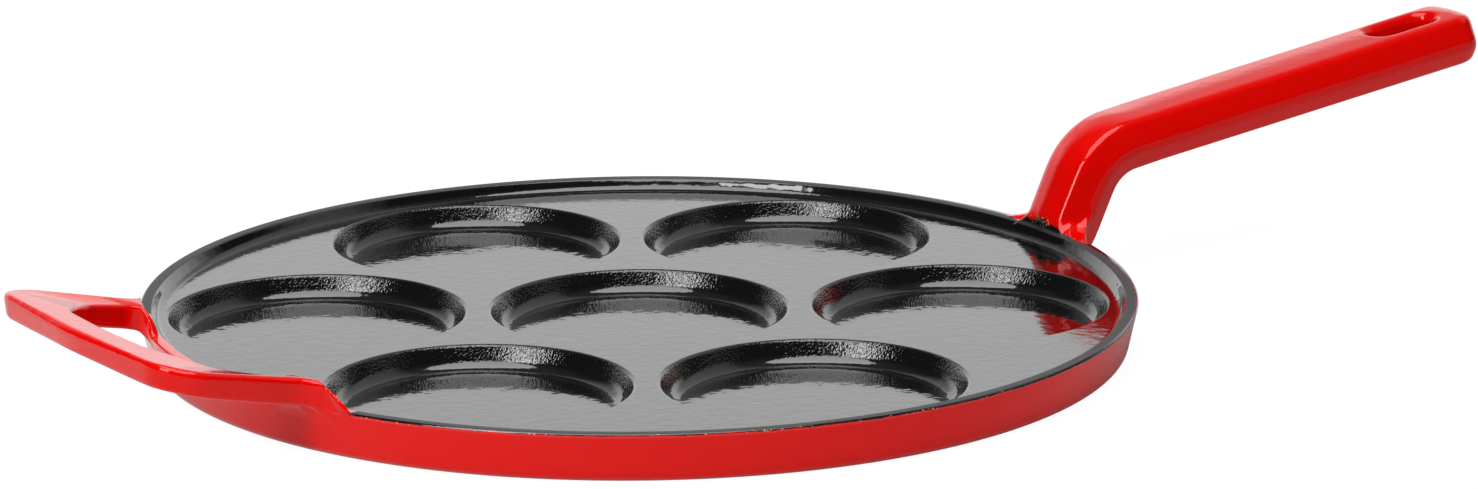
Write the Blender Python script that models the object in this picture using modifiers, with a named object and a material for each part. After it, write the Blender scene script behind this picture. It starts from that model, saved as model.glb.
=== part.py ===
"""Enamelled cast-iron pancake pan with seven round wells.

The pan is one sand casting: a shallow disc with a raised rim, a cranked long
handle with a hanging slot, and a flat helper handle opposite it. Here the
casting is kept as three solids, and each enamel coat is a thin solid over it:
black on the cooking side, red on the outside.

Metres, +Z up. +X runs along the long handle, and the origin is the middle of
the flat underside, on the surface that the pan stands on.
"""

import math
from collections import namedtuple

import bmesh
import bpy
from mathutils import Matrix, Vector

# Coats and clearances
ENAMEL = 0.0004
GAP = 0.0003

# Depth of the long handle's root inside the disc
LONG_ROOT = 0.0150

# Wells: six around one, all alike, measured at the sharp lip
WELL_RADIUS = 0.0396
WELL_DEPTH = 0.0060
WELL_LEAN = 0.0028
WELL_BRIDGE = 0.0065
WELL_LIP_ROUND = 0.0012
WELL_LIP_TILT = 0.04
WELL_FLOOR_ROUND = 0.0045
OUTER_WELLS = 6

# Disc and rim
FLOOR_THICKNESS = 0.0041
FACE_MARGIN = 0.0025
RIM_RISE = 0.0032
RIM_LEAN = 0.0018
RIM_WIDTH = 0.0032
RIM_INNER_ROUND = 0.0011
RIM_OUTER_ROUND = 0.0010
RIM_FOOT_ROUND = 0.0038
WALL_DRAFT = 0.0028
BASE_ROUND = 0.0030
SEAM_DROP = 0.0011

# Long handle: a neck climbs from the wall, then a straight grip leans up
NECK_FOOT = 0.0010
NECK_ANGLE = math.radians(64.4)
NECK_FOOT_BEND = 0.0130
NECK_FOOT_HEIGHT = 0.0070
NECK_RISE = 0.0272
GRIP_ANGLE = math.radians(7.6)
GRIP_BEND = 0.0140
GRIP_LENGTH = 0.1306
GRIP_TOP_WIDTH = 0.0170
GRIP_WIDTH = 0.0222
GRIP_BOTTOM_WIDTH = 0.0130
GRIP_THICKNESS = 0.0142
GRIP_RIDGE_DROP = 0.0064
GRIP_TOP_ROUND = 0.0016
GRIP_SIDE_ROUND = 0.0030
GRIP_SWELL = 0.0012
ROOT_THICKNESS = 0.0124
ROOT_FLARE = 0.0115
ROOT_FLARE_REACH = 0.0100
ROOT_FLARE_LEAD = 0.0025
TIP_ROUND = 0.0060
TIP_BREAK = 0.0042
TIP_BREAK_IN = 0.0014
TIP_END_IN = 0.0043
SLOT_LENGTH = 0.0250
SLOT_WIDTH = 0.0090
SLOT_FROM_TIP = 0.0082

# Helper handle: a sloping plate with an opening for the fingers
HELPER_REACH = 0.0376
HELPER_WIDTH = 0.0976
HELPER_ARM = 0.0115
HELPER_BAR = 0.0116
HELPER_BOW = 0.0030
HELPER_CORNER = 0.0140
OPENING_CORNER = 0.0220
OPENING_BOW = 0.0008
HELPER_RISE = 0.0171
HELPER_SLOPE = 0.20
HELPER_SHOULDER = 0.0045
HELPER_TIP_THICKNESS = 0.0066
HELPER_ROOT_THICKNESS = 0.0078
HELPER_EDGE_ROUND = 0.0016
HELPER_FLARE_OUT = 0.0118
HELPER_FLARE_IN = 0.0060
HELPER_FLARE_REACH = 0.0140
HELPER_FLARE_LEAD = 0.0071
HELPER_FOOT_DROP = 0.0036
HELPER_FOOT_REACH = 0.0120

# Facets
DISC_SEGMENTS = 64
WELL_SEGMENTS = 24
EDGE_STEPS = 1
ARC_STEPS = 2
BEND_STEPS = 5
ARM_STEPS = 8
ARM_CROWDING = 1.4
SLOT_STEPS = 5
LONGEST_RUN = 0.0330
CREASE = math.radians(40)

# Sizes that follow from the ones above
WELL_CIRCLE = 2 * WELL_RADIUS + WELL_BRIDGE
FACE_HEIGHT = FLOOR_THICKNESS + WELL_DEPTH
RIM_HEIGHT = FACE_HEIGHT + RIM_RISE
RIM_FOOT = WELL_CIRCLE + WELL_RADIUS + FACE_MARGIN
RIM_INSIDE = RIM_FOOT + RIM_LEAN
RIM_RADIUS = RIM_INSIDE + RIM_WIDTH
BASE_RADIUS = RIM_RADIUS - WALL_DRAFT
IRON_INSET = ENAMEL + GAP
HELPER_ROOT_RADIUS = RIM_INSIDE + RIM_WIDTH / 4

# An outline's corner, rounded to a radius in a number of steps
Corner = namedtuple("Corner", "x y radius steps", defaults=(0.0, EDGE_STEPS))

# Finishes
BLACK_ENAMEL = (0.012, 0.012, 0.013, 1.0)
RED_ENAMEL = (0.57, 0.008, 0.006, 1.0)
CAST_IRON = (0.09, 0.09, 0.095, 1.0)
ENAMEL_ROUGHNESS = 0.13
IRON_ROUGHNESS = 0.75
IRON_METALLIC = 0.9


def clear_scene():
    """Starts from an empty scene."""
    for item in list(bpy.data.objects):
        bpy.data.objects.remove(item)


def new_collection(name):
    """A collection linked to the scene."""
    collection = bpy.data.collections.new(name)
    bpy.context.scene.collection.children.link(collection)
    return collection


def new_material(name, colour, roughness, metallic):
    """A Principled material with one colour."""
    material = bpy.data.materials.new(name)
    material.use_nodes = True
    shader = material.node_tree.nodes["Principled BSDF"]
    shader.inputs["Base Color"].default_value = colour
    shader.inputs["Roughness"].default_value = roughness
    shader.inputs["Metallic"].default_value = metallic
    material.diffuse_color = colour
    return material


def offset(corners, distance, closed=False):
    """Moves an outline to the right of its travel, into the material.

    An outer corner's radius shrinks by the distance and an inner corner's
    grows, so that the outlines stay parallel.
    """
    count = len(corners)
    points = [Vector((corner.x, corner.y)) for corner in corners]
    runs = []
    for index in range(count if closed else count - 1):
        start = points[index]
        along = (points[(index + 1) % count] - start).normalized()
        right = Vector((along.y, -along.x))
        runs.append((start + right * distance, along, right))
    moved = []
    for index, corner in enumerate(corners):
        if not closed and index == 0:
            place = runs[0][0]
            turn = 0.0
        elif not closed and index == count - 1:
            place = points[index] + runs[-1][2] * distance
            turn = 0.0
        else:
            base, before, _ = runs[index - 1]
            onto, after, _ = runs[index]
            turn = before.cross(after)
            if abs(turn) < 1e-9:
                place = onto
            else:
                place = base + before * ((onto - base).cross(after) / turn)
        radius = corner.radius
        if radius > 0.0:
            radius = max(radius + math.copysign(distance, turn), 0.1 * radius)
        moved.append(Corner(place.x, place.y, radius, corner.steps))
    return moved


def fillet(corners, closed=False):
    """Turns corners into points, with an arc at each rounded one."""
    count = len(corners)
    points = []
    for index, (x, y, radius, steps) in enumerate(corners):
        here = Vector((x, y))
        if radius <= 0.0:
            points.append(here)
            continue
        last = Vector((corners[index - 1].x, corners[index - 1].y))
        following = corners[(index + 1) % count]
        following = Vector((following.x, following.y))
        before = (here - last).normalized()
        after = (following - here).normalized()
        turn = before.angle_signed(after)
        half = math.tan(abs(turn) / 2)
        room = 0.48 * min((here - last).length, (following - here).length)
        radius = min(radius, room / half)
        start = here - before * radius * half
        side = math.copysign(1.0, turn)
        centre = start + Vector((before.y, -before.x)) * radius * side
        arm = start - centre
        for step in range(steps + 1):
            spoke = arm.copy()
            spoke.rotate(Matrix.Rotation(-turn * step / steps, 2))
            points.append(centre + spoke)
    return points


def new_object(name, mesh, collection, material=None):
    """Links a mesh to its collection, or sets it up as a hidden cutter."""
    item = bpy.data.objects.new(name, mesh)
    collection.objects.link(item)
    if material:
        mesh.materials.append(material)
    else:
        item.hide_render = True
        item.display_type = "WIRE"
    return item


def turned(name, profile, segments, collection, material=None):
    """A solid of revolution: the profile runs down its outer side.

    It starts half a facet round from +X, so that no facet edge lies in a
    plane of symmetry, where the cuts would meet it end to end.
    """
    half_facet = math.pi / segments
    around = (math.cos(half_facet), math.sin(half_facet))
    mesh = bpy.data.meshes.new(name)
    edges = [(index, index + 1) for index in range(len(profile) - 1)]
    if profile[0][0] > 0.0:
        edges.append((len(profile) - 1, 0))
    points = [(x * around[0], x * around[1], z) for x, z in profile]
    mesh.from_pydata(points, edges, [])
    item = new_object(name, mesh, collection, material)
    screw = item.modifiers.new("Turn", "SCREW")
    screw.steps = segments
    screw.render_steps = segments
    screw.use_merge_vertices = True
    screw.merge_threshold = 0.00001
    screw.use_smooth_shade = True
    return item


def loft(name, rings, collection, material=None):
    """A closed solid through rings of points.

    Every quad is split the same way, so that lofts through parallel rings
    stay parallel.
    """
    mesh = bpy.data.meshes.new(name)
    shape = bmesh.new()
    rows = [[shape.verts.new(point) for point in ring] for ring in rings]
    for near, far in zip(rows, rows[1:]):
        for index in range(len(near)):
            following = (index + 1) % len(near)
            shape.faces.new((near[index], near[following], far[following]))
            shape.faces.new((near[index], far[following], far[index]))
    shape.faces.new(list(reversed(rows[0])))
    shape.faces.new(rows[-1])
    bmesh.ops.recalc_face_normals(shape, faces=shape.faces)
    shape.to_mesh(mesh)
    shape.free()
    mesh.shade_smooth()
    mesh.set_sharp_from_angle(angle=CREASE)
    return new_object(name, mesh, collection, material)


def cut(item, cutter):
    """Takes the cutter out of the item."""
    modifier = item.modifiers.new("Cut " + cutter.name, "BOOLEAN")
    modifier.operation = "DIFFERENCE"
    modifier.solver = "EXACT"
    modifier.object = cutter


def disc_outline(inset):
    """The disc's outline: over the face and rim, down the wall, to the middle."""
    corners = [
        Corner(0.0, FACE_HEIGHT),
        Corner(RIM_FOOT, FACE_HEIGHT, RIM_FOOT_ROUND, ARC_STEPS),
        Corner(RIM_INSIDE, RIM_HEIGHT, RIM_INNER_ROUND),
        Corner(RIM_RADIUS, RIM_HEIGHT, RIM_OUTER_ROUND),
        Corner(BASE_RADIUS, 0.0, BASE_ROUND, ARC_STEPS),
        Corner(0.0, 0.0),
    ]
    return fillet(offset(corners, inset))


def disc_envelope(inset):
    """The disc's outline with a level top, for what is cut to fit around it."""
    corners = [
        Corner(0.0, RIM_HEIGHT),
        Corner(RIM_RADIUS, RIM_HEIGHT, RIM_OUTER_ROUND),
        Corner(BASE_RADIUS, 0.0, BASE_ROUND, ARC_STEPS),
        Corner(0.0, 0.0),
    ]
    return fillet(offset(corners, inset))


def column(name, radius, cutters):
    """A cutter that takes out what lies over and under the face."""
    corners = [Vector((0.0, 2 * RIM_HEIGHT)), Vector((radius, 2 * RIM_HEIGHT)),
               Vector((radius, -RIM_HEIGHT)), Vector((0.0, -RIM_HEIGHT))]
    return turned(name, corners, DISC_SEGMENTS, cutters)


def wall_radius(height):
    """The wall's outer radius at a height."""
    return BASE_RADIUS + WALL_DRAFT * height / RIM_HEIGHT


def well_centres():
    """One well in the middle and six around it, between the handles' lines."""
    centres = [(0.0, 0.0)]
    for index in range(OUTER_WELLS):
        angle = math.tau * (index + 0.5) / OUTER_WELLS
        centres.append((WELL_CIRCLE * math.cos(angle), WELL_CIRCLE * math.sin(angle)))
    return centres


def well_plug(inset, name, cutters):
    """One cutter with the shape of all the wells, grown by the inset.

    Its lip leaves the face at a slight angle, so that the cut is clean.
    """
    lip_run = 2 * WELL_LIP_ROUND
    lip_tilt = WELL_LIP_TILT * lip_run
    corners = [
        Corner(0.0, FACE_HEIGHT - WELL_DEPTH),
        Corner(WELL_RADIUS - WELL_LEAN, FACE_HEIGHT - WELL_DEPTH, WELL_FLOOR_ROUND, ARC_STEPS),
        Corner(WELL_RADIUS, FACE_HEIGHT, WELL_LIP_ROUND),
        Corner(WELL_RADIUS + lip_run, FACE_HEIGHT + lip_tilt),
    ]
    surface = fillet(offset(corners, inset))
    top = RIM_HEIGHT + WELL_DEPTH
    profile = [Vector((0.0, top)), Vector((surface[-1].x, top))] + surface[::-1]
    one = turned(name + "_one", profile, WELL_SEGMENTS, cutters)
    depsgraph = bpy.context.evaluated_depsgraph_get()
    single = bpy.data.meshes.new_from_object(one.evaluated_get(depsgraph))
    bpy.data.objects.remove(one)
    shape = bmesh.new()
    for x, y in well_centres():
        start = len(shape.verts)
        shape.from_mesh(single)
        shape.verts.ensure_lookup_table()
        bmesh.ops.translate(shape, vec=(x, y, 0.0), verts=shape.verts[start:])
    mesh = bpy.data.meshes.new(name)
    shape.to_mesh(mesh)
    shape.free()
    return new_object(name, mesh, cutters)


def subdivided(points, longest):
    """Adds points so that no run is longer than the given length."""
    fine = [points[0]]
    for start, end in zip(points, points[1:]):
        parts = max(1, math.ceil((end - start).length / longest - 1e-6))
        for part in range(1, parts + 1):
            fine.append(start.lerp(end, part / parts))
    return fine


def tangent(points, index):
    """The path's direction at one of its points."""
    before = points[max(index - 1, 0)]
    after = points[min(index + 1, len(points) - 1)]
    here = points[index]
    arriving = (here - before).normalized()
    leaving = (after - here).normalized()
    return (arriving + leaving).normalized()


def clamped(value):
    """The value, held between 0 and 1."""
    return min(max(value, 0.0), 1.0)


def long_handle_path(inset):
    """The handle's middle line in its upright plane, as (x, z) points."""
    start = Vector((RIM_RADIUS - LONG_ROOT - inset, NECK_FOOT_HEIGHT))
    foot = Vector((RIM_RADIUS + NECK_FOOT, start.y))
    neck = Vector((math.cos(NECK_ANGLE), math.sin(NECK_ANGLE)))
    bend = foot + neck * (NECK_RISE / neck.y)
    grip = Vector((math.cos(GRIP_ANGLE), math.sin(GRIP_ANGLE)))
    end = bend + grip * (GRIP_LENGTH - TIP_ROUND)
    corners = [
        Corner(*start),
        Corner(*foot, NECK_FOOT_BEND, BEND_STEPS),
        Corner(*bend, GRIP_BEND, BEND_STEPS),
        Corner(*end),
    ]
    points = subdivided(fillet(corners), LONGEST_RUN)
    for reach in (TIP_BREAK, TIP_ROUND):
        points.append(end + grip * (reach - inset))
    return points


def long_handle_section(swell, flare, thickness, shrink, inset):
    """The six-sided section: flat on top, widest below it, narrower beneath."""
    grow = swell + flare - shrink
    top = GRIP_TOP_WIDTH / 2 + grow
    side = GRIP_WIDTH / 2 + grow
    bottom = GRIP_BOTTOM_WIDTH / 2 + grow
    half = (thickness - shrink) / 2
    ridge = half - GRIP_RIDGE_DROP
    corners = [
        Corner(-top, half, GRIP_TOP_ROUND),
        Corner(top, half, GRIP_TOP_ROUND),
        Corner(side, ridge, GRIP_SIDE_ROUND, ARC_STEPS),
        Corner(bottom, -half, GRIP_SIDE_ROUND, ARC_STEPS),
        Corner(-bottom, -half, GRIP_SIDE_ROUND, ARC_STEPS),
        Corner(-side, ridge, GRIP_SIDE_ROUND, ARC_STEPS),
    ]
    return fillet(offset(corners, inset, closed=True), closed=True)


def long_handle_rings(inset):
    """Sections along the long handle, from inside the disc to the tip."""
    path = long_handle_path(inset)
    rings = []
    reach = 0.0
    flare_start = LONG_ROOT - ROOT_FLARE_LEAD
    total = sum((b - a).length for a, b in zip(path, path[1:]))
    for index, here in enumerate(path):
        if index:
            reach += (here - path[index - 1]).length
        away = clamped((reach - flare_start) / ROOT_FLARE_REACH)
        flare = ROOT_FLARE * (1.0 - away) ** 2
        thickness = ROOT_THICKNESS + (GRIP_THICKNESS - ROOT_THICKNESS) * away
        from_tip = (len(path) - 1) - index
        shrink = {0: TIP_END_IN, 1: TIP_BREAK_IN}.get(from_tip, 0.0)
        swell = GRIP_SWELL * (reach / total - 0.5)
        along = tangent(path, index)
        up = Vector((-along.y, along.x))
        ring = []
        section = long_handle_section(swell, flare, thickness, shrink, inset)
        for across, rise in section:
            place = here + up * rise
            ring.append((place.x, across, place.y))
        rings.append(ring)
    return rings


def slot_cutter(inset, name, cutters):
    """The hanging slot, square to the grip's top and open through it.

    Its ends are rounded to just under half its width, so that the two
    roundings at an end don't meet.
    """
    mesh = bpy.data.meshes.new(name)
    shape = bmesh.new()
    bmesh.ops.create_cube(shape, size=1.0)
    width = SLOT_WIDTH + 2 * inset
    through = 3 * GRIP_THICKNESS
    size = (SLOT_LENGTH + 2 * inset, width, through)
    bmesh.ops.scale(shape, vec=size, verts=shape.verts)
    upright = [edge for edge in shape.edges
               if abs(edge.verts[0].co.z - edge.verts[1].co.z) > GRIP_THICKNESS]
    bmesh.ops.bevel(shape, geom=upright, offset=0.49 * width, segments=SLOT_STEPS,
                    profile=0.5, affect="EDGES")
    path = long_handle_path(0.0)
    grip = Vector((math.cos(GRIP_ANGLE), math.sin(GRIP_ANGLE)))
    middle = path[-1] - grip * (SLOT_FROM_TIP + SLOT_LENGTH / 2)
    turn = Matrix.Rotation(-GRIP_ANGLE, 4, "Y")
    bmesh.ops.transform(shape, matrix=Matrix.Translation((middle.x, 0.0, middle.y)) @ turn,
                        verts=shape.verts)
    shape.to_mesh(mesh)
    shape.free()
    return new_object(name, mesh, cutters)


def helper_outline(side, reach, corner, bow, spread, inset):
    """One edge of the helper handle seen from above, from root to root.

    Each root ends inside the rim, where the edge has spread sideways.
    """
    root = inset - math.sqrt(HELPER_ROOT_RADIUS ** 2 - (side + spread) ** 2)
    corners = [
        Corner(root, -side),
        Corner(bow - reach, -side, corner, BEND_STEPS),
        Corner(-reach, 0.0, HELPER_WIDTH, BEND_STEPS),
        Corner(bow - reach, side, corner, BEND_STEPS),
        Corner(root, side),
    ]
    arc = BEND_STEPS + 1
    points = fillet(corners)
    first = stepped(points[0], points[1], ARM_STEPS)
    last = stepped(points[-1], points[-2], ARM_STEPS)[::-1]
    return first + points[2:3 * arc] + last


def stepped(start, end, steps):
    """Points from start to end, closer together near the start."""
    return [start.lerp(end, (step / steps) ** ARM_CROWDING) for step in range(steps + 1)]


def helper_plane(x):
    """Height of the plate's sloping top plane."""
    return RIM_HEIGHT + HELPER_RISE - HELPER_SLOPE * (x + RIM_RADIUS + HELPER_REACH)


def helper_top(x, y, flare):
    """Height of the plate's top, which turns down over the rim."""
    beyond = clamped((math.hypot(x, y) - HELPER_ROOT_RADIUS) / HELPER_SHOULDER)
    share = beyond * (2.0 - beyond) * (1.0 - flare)
    sunk = RIM_HEIGHT - RIM_OUTER_ROUND - IRON_INSET
    return sunk + (helper_plane(x) - sunk) * share


def helper_bottom(x, y):
    """Height of the plate's underside, which swells down into the wall."""
    share = clamped((-x - RIM_RADIUS) / HELPER_REACH)
    thickness = HELPER_ROOT_THICKNESS + (HELPER_TIP_THICKNESS - HELPER_ROOT_THICKNESS) * share
    near = clamped(1.0 - (math.hypot(x, y) - RIM_RADIUS) / HELPER_FOOT_REACH)
    plain = helper_plane(x) - thickness
    foot = RIM_HEIGHT - SEAM_DROP - HELPER_FOOT_DROP
    return plain + (foot - plain) * near ** 2


def helper_flare(x, side):
    """Share of the root's flare, where an edge of the arm nears the wall."""
    wall = math.sqrt(RIM_RADIUS ** 2 - side ** 2)
    return clamped((wall + x + HELPER_FLARE_LEAD) / HELPER_FLARE_REACH) ** 2


def helper_rings(inset):
    """Sections around the helper handle, from one root to the other."""
    side = HELPER_WIDTH / 2
    reach = RIM_RADIUS + HELPER_REACH
    outside = helper_outline(side, reach, HELPER_CORNER, HELPER_BOW,
                             HELPER_FLARE_OUT, inset)
    inside = helper_outline(side - HELPER_ARM, reach - HELPER_BAR, OPENING_CORNER,
                            OPENING_BOW, 0.0, inset)
    rings = []
    for outer, inner in zip(outside, inside):
        flare_out = helper_flare(outer.x, side)
        flare_in = helper_flare(inner.x - HELPER_FLARE_IN, side - HELPER_ARM)
        outer = outer + Vector((0.0, math.copysign(HELPER_FLARE_OUT * flare_out, outer.y)))
        inner = inner - Vector((0.0, math.copysign(HELPER_FLARE_IN * flare_in, inner.y)))
        span = (outer - inner).length
        outward = (outer - inner) / span
        corners = [
            Corner(-span, helper_top(inner.x, inner.y, 0.0), HELPER_EDGE_ROUND),
            Corner(0.0, helper_top(outer.x, outer.y, flare_out), HELPER_EDGE_ROUND),
            Corner(0.0, helper_bottom(outer.x, outer.y), HELPER_EDGE_ROUND),
            Corner(-span, helper_bottom(inner.x, inner.y), HELPER_EDGE_ROUND),
        ]
        ring = []
        for across, height in fillet(offset(corners, inset, closed=True), closed=True):
            place = outer + outward * across
            ring.append((place.x, place.y, height))
        rings.append(ring)
    return rings


def build():
    """Builds the three castings and the five coats."""
    clear_scene()
    parts = new_collection("pancake_pan")
    cutters = new_collection("cutters")
    iron = [new_material("cast iron " + part, CAST_IRON, IRON_ROUGHNESS, IRON_METALLIC)
            for part in ("disc", "long handle", "helper handle")]
    black = new_material("black enamel cooking surface", BLACK_ENAMEL, ENAMEL_ROUGHNESS, 0.0)
    red = [new_material("red enamel " + part, RED_ENAMEL, ENAMEL_ROUGHNESS, 0.0)
           for part in ("wall", "base", "long handle", "helper handle")]

    # Cutters that several pieces share
    core = turned("core", disc_outline(ENAMEL), DISC_SEGMENTS, cutters)
    cut(core, well_plug(ENAMEL, "core_wells", cutters))
    around_iron = turned("around_iron", disc_envelope(ENAMEL), DISC_SEGMENTS, cutters)
    around_coats = turned("around_coats", disc_envelope(-GAP), DISC_SEGMENTS, cutters)
    long_core = loft("long_core", long_handle_rings(ENAMEL), cutters)
    cut(long_core, slot_cutter(ENAMEL, "core_slot", cutters))
    helper_core = loft("helper_core", helper_rings(ENAMEL), cutters)

    # The long handle's way through the rim's coat, which stops short of the face
    inside_rim = column("inside_rim", RIM_INSIDE + GAP, cutters)
    around_face = column("around_face", RIM_INSIDE + 2 * GAP, cutters)
    long_way = loft("long_way", long_handle_rings(ENAMEL), cutters)
    cut(long_way, inside_rim)

    # The casting
    disc = turned("disc_casting", disc_outline(IRON_INSET), DISC_SEGMENTS, parts, iron[0])
    cut(disc, well_plug(IRON_INSET, "iron_wells", cutters))
    handle = loft("long_handle_casting", long_handle_rings(IRON_INSET), parts, iron[1])
    cut(handle, slot_cutter(IRON_INSET, "iron_slot", cutters))
    cut(handle, around_iron)
    cut(handle, around_face)
    helper = loft("helper_handle_casting", helper_rings(IRON_INSET), parts, iron[2])
    cut(helper, around_iron)

    # Black enamel over the face, the wells and the rim, down to the seam
    seam = RIM_HEIGHT - SEAM_DROP
    inside = RIM_INSIDE + RIM_WIDTH / 3
    corners = [
        Corner(0.0, FACE_HEIGHT),
        Corner(RIM_FOOT, FACE_HEIGHT, RIM_FOOT_ROUND, ARC_STEPS),
        Corner(RIM_INSIDE, RIM_HEIGHT, RIM_INNER_ROUND),
        Corner(RIM_RADIUS, RIM_HEIGHT, RIM_OUTER_ROUND),
        Corner(wall_radius(seam), seam),
        Corner(inside, seam),
        Corner(inside, FACE_HEIGHT),
        Corner(RIM_FOOT, FLOOR_THICKNESS / 2),
        Corner(0.0, FLOOR_THICKNESS / 2),
    ]
    coat = turned("cooking_surface_enamel", fillet(corners), DISC_SEGMENTS, parts, black)
    cut(coat, helper_core)
    cut(coat, long_way)
    cut(coat, well_plug(0.0, "coat_wells", cutters))
    cut(coat, core)

    # Red enamel on the wall, the underside and the handles
    low = [
        Corner(wall_radius(seam - GAP), seam - GAP),
        Corner(BASE_RADIUS, 0.0, BASE_ROUND, ARC_STEPS),
        Corner(0.0, 0.0),
    ]
    outer = fillet(low)[:-1]
    inner = fillet(offset(low, ENAMEL))[:-1]
    wall = turned("wall_enamel", outer + inner[::-1], DISC_SEGMENTS, parts, red[0])
    cut(wall, long_core)
    cut(wall, helper_core)
    flat_radius = min(outer[-1].x, inner[-1].x) - GAP
    flat = [Vector((0.0, ENAMEL)), Vector((flat_radius, ENAMEL)),
            Vector((flat_radius, 0.0)), Vector((0.0, 0.0))]
    turned("base_enamel", flat, DISC_SEGMENTS, parts, red[1])
    grip = loft("long_handle_enamel", long_handle_rings(0.0), parts, red[2])
    cut(grip, slot_cutter(0.0, "coat_slot", cutters))
    cut(grip, long_core)
    cut(grip, around_coats)
    plate = loft("helper_handle_enamel", helper_rings(0.0), parts, red[3])
    cut(plate, helper_core)
    cut(plate, around_coats)


build()
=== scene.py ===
"""Dresses the pancake pan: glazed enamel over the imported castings, and a studio.

Every length is in metres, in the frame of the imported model: +X runs along the
long handle, +Z is up, and the pan stands on z = 0.
"""

import math
from collections import namedtuple
from functools import partial

import bmesh
import bpy
import numpy as np
from bpy.props import FloatProperty, FloatVectorProperty, IntProperty, PointerProperty
from mathutils import Matrix, Vector


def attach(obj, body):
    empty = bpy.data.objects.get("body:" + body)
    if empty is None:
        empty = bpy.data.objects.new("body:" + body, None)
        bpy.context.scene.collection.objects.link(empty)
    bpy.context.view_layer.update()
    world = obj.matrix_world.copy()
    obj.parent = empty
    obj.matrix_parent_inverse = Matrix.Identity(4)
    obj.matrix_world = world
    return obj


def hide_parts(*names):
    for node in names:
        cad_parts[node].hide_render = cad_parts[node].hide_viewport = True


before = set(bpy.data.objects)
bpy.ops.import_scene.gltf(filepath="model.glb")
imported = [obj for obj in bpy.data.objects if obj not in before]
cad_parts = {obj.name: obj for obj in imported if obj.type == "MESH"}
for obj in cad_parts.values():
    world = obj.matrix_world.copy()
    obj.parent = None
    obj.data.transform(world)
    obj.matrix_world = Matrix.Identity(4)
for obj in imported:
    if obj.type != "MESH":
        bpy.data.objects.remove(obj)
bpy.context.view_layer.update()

bl_info = {
    "name": "Enamelled pancake pan",
    "version": (1, 0, 0),
    "blender": (4, 5, 0),
    "location": "3D View > Sidebar > Pancake pan",
    "description": "Builds the enamel coats, the handles and the studio of a pancake pan",
    "category": "Add Mesh",
}

BLACK_GLAZE = "Vitreous enamel, glossy black"
RED_GLAZE = "Vitreous enamel, glossy red"

# Kinds of nodes that come often, and the setting of a smooth ramp
MATH = "ShaderNodeMath"
VECTOR_MATH = "ShaderNodeVectorMath"
RAMP = "ShaderNodeMapRange"
SMOOTH = {"interpolation_type": "SMOOTHSTEP"}
MIX = "ShaderNodeMix"
NOISE = "ShaderNodeTexNoise"

# Facets: round the disc and a well, along a handle's root, and of a rounded edge,
# which takes at most a share of the runs beside it
DISC_SEGMENTS = 256
WELL_SEGMENTS = 96
ROOT_STEPS = 12
EDGE_STEPS = 5
EDGE_SHARE = 0.48

# The angle from which an edge is a crease, and how near points are one
CREASE = math.radians(40.0)
SAME_POINT = 1e-6

# The longest facets down the rim and down the wall, and the narrow ring of level
# facets that keeps the shading even at the edge of a well's floor and of the base
RIM_RUN, WALL_RUN = 0.0016, 0.0020
FLOOR_RING, BASE_RING = 0.0006, 0.0010

# Roundings of the disc as radius and steps, how far a well's floor keeps inside
# its lip, and the level margin that joins a turned piece to the face
RIM_FOOT_ROUNDING = (0.0026, 10)
RIM_INSIDE_ROUNDING = (0.0008, 6)
RIM_OUTSIDE_ROUNDING = (0.0006, 6)
WALL_FOOT_ROUNDING = (0.0030, 10)
WELL_FLOOR_ROUNDING = (0.0045, 10)
WELL_LIP_STEPS = 8
WELL_FLOOR_INSET = 0.0028
FACE_MARGIN = 0.00005

# How far apart the skin's slope is taken under a root, how far a root's lines run
# on under the skin, along and down, and how far they then go to the root's heart
SKIN_PROBE = 0.0012
BURIED = (0.0010, 0.0006)
TO_HEART = 0.6

# The glaze that melts over a handle: passes of smoothing, how much they round
# off, which the sections stand proud by, and the voxels of the two handles
MELT_PASSES = 4
MELT = 0.0003
LONG_VOXEL = 0.00045
HELPER_VOXEL = 0.00040

# The long handle's middle line in the upright plane: its start inside the rim,
# its foot just outside, and the rounding of foot and bend
LINE_START = 0.0150
LINE_HEIGHT = 0.0070
LINE_FOOT = 0.0010
FOOT_ROUNDING = 0.0130
BEND_ROUNDING = 0.0175
BEND_STEPS = 16

# Its section: growth from root to tip, thickness and run of the root, half the
# underside's width, fall of the side ridges, where the neck's shape fades out,
# roundings, and the longest facet
TAPER = 0.0012
ROOT_THICKNESS = 0.0124
ROOT_REACH, ROOT_RUN = 0.0125, 0.0100
UNDERSIDE_HALF = 0.0076
RIDGE_FALL = 0.0082
NECK_REACH, NECK_RUN = 0.0620, 0.0250
RIDGE_ROUNDING = 0.0045
UNDERSIDE_ROUNDING = 0.0026
SECTION_RUN = 0.0015

# Its section's top, from the near edge over the middle to the far edge: rounding,
# and what the neck adds, aside, up and to the rounding. Then how much the middle
# stands up and the underside down, and what neck and tip add to the underside.
TOP_CORNERS = ((0.0028, 0.0, 0.0, 0.0), (0.0900, -0.0015, 0.0010, -0.0700),
               (0.0030, 0.0007, -0.0004, 0.0025))
CROWN, UNDER = 0.0002, 0.0004
UNDER_NECK, UNDER_TIP = 0.0006, 0.3

# Its tip: length, how much it draws in, and steps
TIP_LENGTH = 0.0060
TIP_SHRINK = 0.0050
TIP_STEPS = 8

# The hanging slot: distance from the tip, and its mouth as pairs of depth under
# the face and widening
SLOT_INSET = 0.0095
SLOT_MOUTH = ((0.0020, 0.0), (0.0007, 0.0008), (0.0, 0.0018))
SLOT_STEPS = 16

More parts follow.
